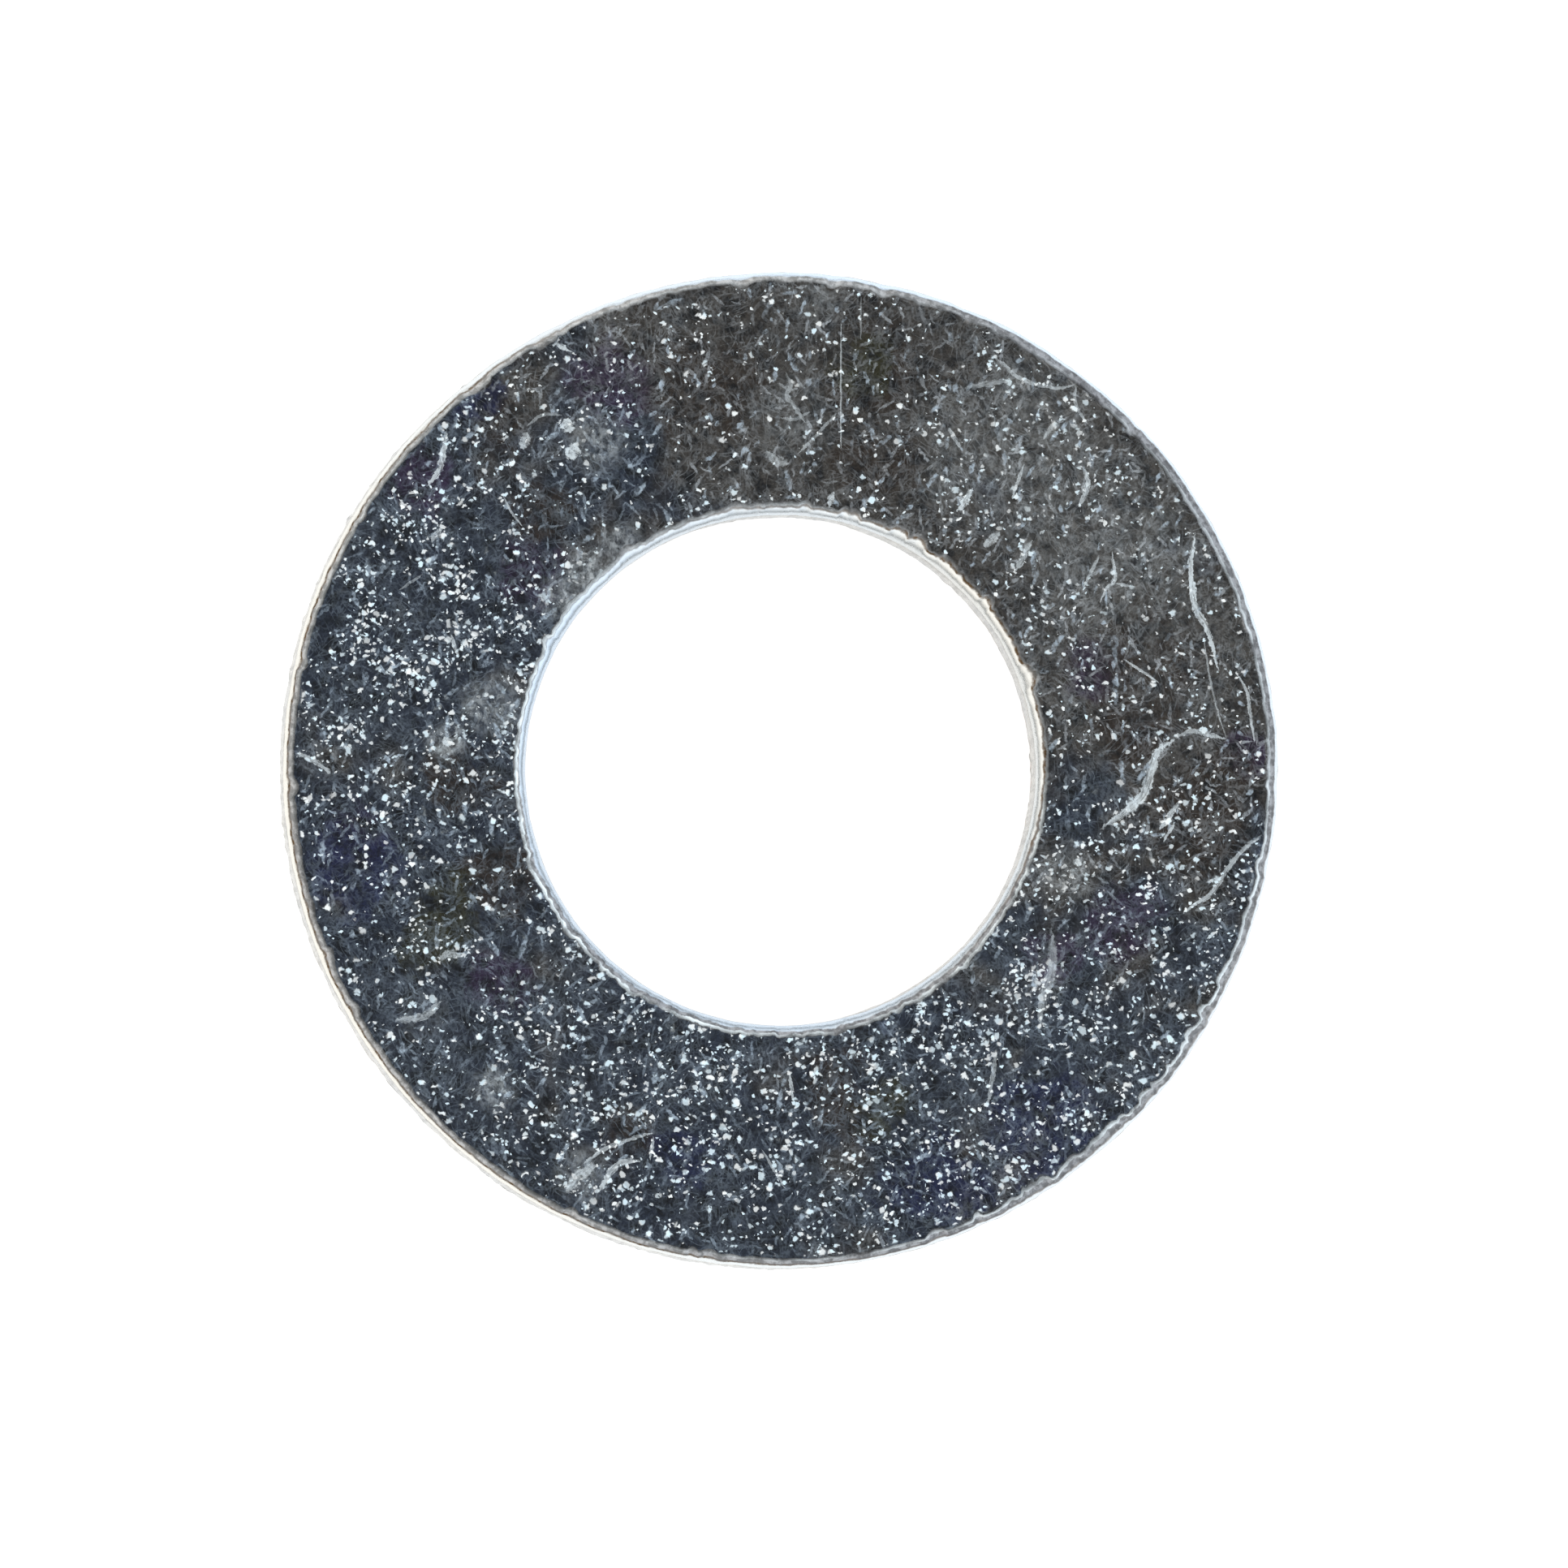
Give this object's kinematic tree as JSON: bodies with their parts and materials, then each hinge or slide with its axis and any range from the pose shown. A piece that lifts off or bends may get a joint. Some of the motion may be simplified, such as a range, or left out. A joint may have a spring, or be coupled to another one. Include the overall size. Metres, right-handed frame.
{
  "type": "flat washer",
  "caption": "Plain flat metal washer: a thin ring with a central clearance bore, rolled upper edges and two flat bearing faces.",
  "frame": {"origin": "on the bore's axis, in the lower bearing face", "axes": "+Z along the bore's axis, towards the bearing face whose edges are rolled over; X and Y are equivalent"},
  "size_m": [0.0125, 0.0124, 0.0016],
  "materials": {
    "plated_steel": "tumbled and zinc plated, scuffed, with a faint blue and brown film"
  },
  "bodies": {
    "root": {"washer": "plated_steel"}
  },
  "joints": []
}
